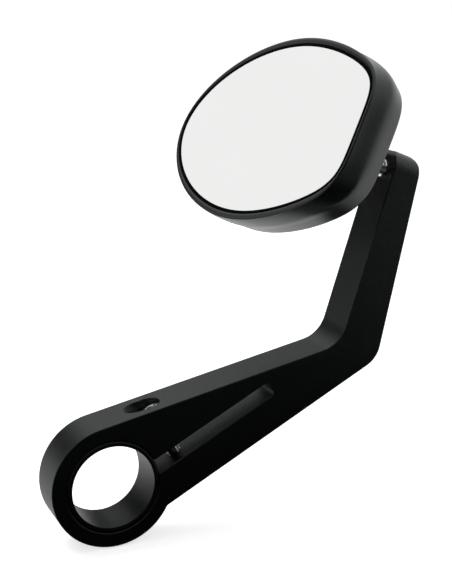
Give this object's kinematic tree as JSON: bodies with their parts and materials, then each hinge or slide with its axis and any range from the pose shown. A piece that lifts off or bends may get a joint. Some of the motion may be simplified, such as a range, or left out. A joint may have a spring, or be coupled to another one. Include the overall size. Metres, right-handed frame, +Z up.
{
  "type": "motorcycle bar end mirror",
  "caption": "Rear-view mirror on a cranked arm that clamps round the end of a handlebar, with an egg-shaped head on a friction ball joint.",
  "frame": {"origin": "centre of the clamp's bore, at half the arm's thickness", "axes": "+Y along the handlebar outwards, +X towards the front, +Z up as the picture shows it"},
  "size_m": [0.1665, 0.1113, 0.2022],
  "materials": {
    "anodised_black": "bead blasted and black anodised",
    "sleeve_black": "machined black plastic",
    "screw_steel": "zinc plated",
    "polished_steel": "polished",
    "seat_nylon": "moulded nylon",
    "satin_black": "satin black coat on cast aluminium",
    "seal_rubber": "smooth",
    "mirror_glass": "silvered glass",
    "pad_foam": "foam",
    "carrier_plastic": "moulded",
    "plate_steel": "zinc plated"
  },
  "bodies": {
    "arm_body": {"arm": "anodised_black", "clamp_sleeve": "sleeve_black", "clamp_screw": "screw_steel", "ball_stud": "polished_steel"},
    "swing_step": {"seat_cap": "seat_nylon"},
    "nod_step": {"seat_ring": "seat_nylon"},
    "head": {"mirror_housing": "satin_black", "glass_seal": "seal_rubber", "mirror_glass": "mirror_glass", "glass_pad": "pad_foam", "glass_carrier": "carrier_plastic", "retainer_plate": "plate_steel", "retainer_screw_1": "plate_steel", "retainer_screw_2": "plate_steel", "retainer_screw_3": "plate_steel"}
  },
  "joints": [
    {"name": "head_swing", "type": "hinge", "parent": "arm_body", "child": "swing_step", "pos_m": [0.11092, 0, 0.12737], "axis": [-0.9511, 0, 0.309], "range_deg": [-30, 30]},
    {"name": "head_nod", "type": "hinge", "parent": "swing_step", "child": "nod_step", "pos_m": [0.11092, 0, 0.12737], "axis": [0.328, -0.9429, 0.0585], "range_deg": [-5, 18]},
    {"name": "head_turn", "type": "hinge", "parent": "nod_step", "child": "head", "pos_m": [0.11092, 0, 0.12737], "axis": [0.4992, 0.2256, 0.8366], "range_deg": [-12, 12]}
  ]
}
